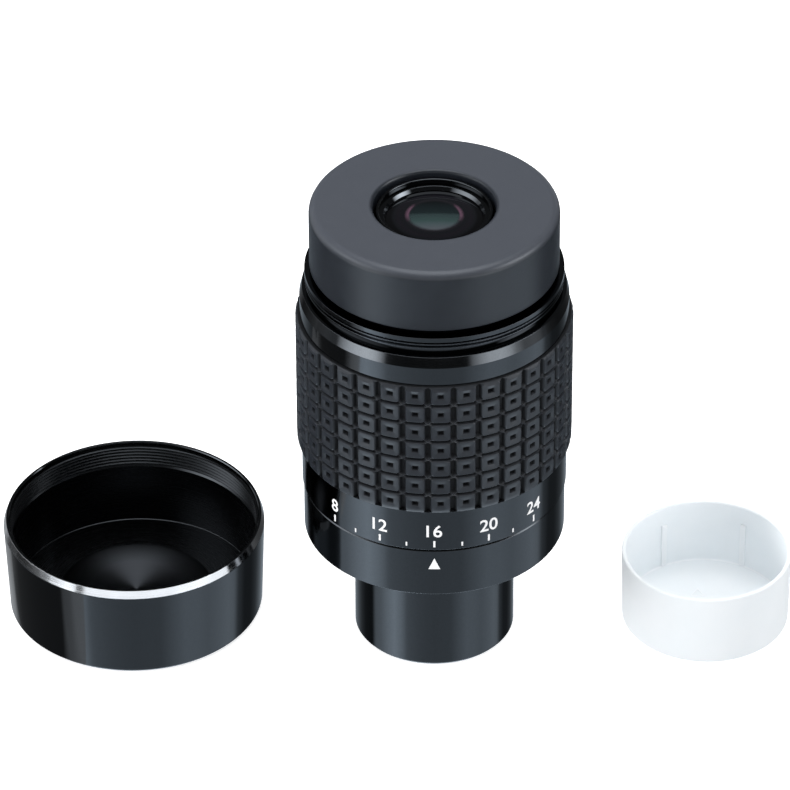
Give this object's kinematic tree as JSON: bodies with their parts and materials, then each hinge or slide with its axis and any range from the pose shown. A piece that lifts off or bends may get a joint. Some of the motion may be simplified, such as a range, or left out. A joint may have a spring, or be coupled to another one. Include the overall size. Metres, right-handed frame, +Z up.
{
  "type": "zoom telescope eyepiece",
  "caption": "Zoom eyepiece for a telescope with a 1.25 inch barrel, cam-driven lens carriages, rubber grip, folded eyecup, metal eye cap and plastic barrel cap.",
  "frame": {"origin": "middle of the footprint of the eyepiece and its two caps, on the surface they stand on", "axes": "+Z up along the eyepiece's optical axis, towards the eye; -Y is the front, where the index mark and the dial are read; +X from the large eye cap towards the small barrel cap"},
  "size_m": [0.1578, 0.0603, 0.0994],
  "materials": {
    "black_anodised": "turned and black anodised, satin to glossy",
    "matt_black": "matt black anodised against stray light",
    "grip_rubber": "moulded, matt with a faint bloom",
    "eyecup_rubber": "moulded, fine matt grain",
    "coated_glass": "polished, green and magenta anti-reflection coating",
    "brass": "turned",
    "steel": "plain",
    "bearing_plastic": "low-friction ring",
    "clear_plastic": "moulded, milky and translucent",
    "bright_aluminium": "diamond-cut bright edge",
    "white_marking": "screen-printed ink"
  },
  "bodies": {
    "fixed_body": {"barrel": "black_anodised", "index_ring": "black_anodised", "guide_tube": "matt_black", "guide_screw_1": "steel", "guide_screw_2": "steel", "guide_screw_3": "steel", "bearing_ring": "bearing_plastic", "guide_retainer": "black_anodised"},
    "zoom_ring": {"cam_sleeve": "matt_black", "zoom_sleeve": "black_anodised", "drive_screw_1": "steel", "drive_screw_2": "steel", "drive_screw_3": "steel", "grip": "grip_rubber", "top_ring": "black_anodised", "eye_cell": "matt_black", "eye_lens": "coated_glass", "eye_lens_ring": "black_anodised", "eye_doublet": "coated_glass", "eye_retainer": "matt_black"},
    "eyecup_body": {"eyecup": "eyecup_rubber"},
    "field_carriage": {"field_cell": "matt_black", "field_lens_front": "coated_glass", "field_lens_rear": "coated_glass", "field_spacer": "matt_black", "field_retainer": "matt_black", "field_follower_1": "brass", "field_follower_2": "brass", "field_follower_3": "brass"},
    "middle_carriage": {"middle_cell": "matt_black", "middle_lens": "coated_glass", "middle_retainer": "matt_black", "field_stop": "matt_black", "middle_follower_1": "brass", "middle_follower_2": "brass", "middle_follower_3": "brass"},
    "eye_cap_body": {"eye_cap": "black_anodised"},
    "barrel_cap_body": {"barrel_cap": "clear_plastic"}
  },
  "joints": [
    {"name": "zoom_turn", "type": "hinge", "parent": "fixed_body", "child": "zoom_ring", "pos_m": [0.00743, -0.0031, 0.05], "axis": [0, 0, 1], "range_deg": [-48, 48]},
    {"name": "field_slide", "type": "slide", "parent": "fixed_body", "child": "field_carriage", "axis": [0, 0, 1], "range_m": [-0.005, 0.005]},
    {"name": "middle_slide", "type": "slide", "parent": "fixed_body", "child": "middle_carriage", "axis": [0, 0, 1], "range_m": [-0.0035, 0.0035]},
    {"name": "eyecup_pull", "type": "slide", "parent": "zoom_ring", "child": "eyecup_body", "axis": [0, 0, 1], "range_m": [0, 0.02]},
    {"name": "eye_cap_lift", "type": "slide", "parent": "fixed_body", "child": "eye_cap_body", "axis": [0, 0, 1], "range_m": [0, 0.11]},
    {"name": "barrel_cap_lift", "type": "slide", "parent": "fixed_body", "child": "barrel_cap_body", "axis": [0, 0, 1], "range_m": [0, 0.11]}
  ],
  "couplings": [
    {"joint": "field_slide", "follows": "zoom_turn", "m_per_rad": 0.005968},
    {"joint": "middle_slide", "follows": "zoom_turn", "m_per_rad": -0.004177}
  ]
}
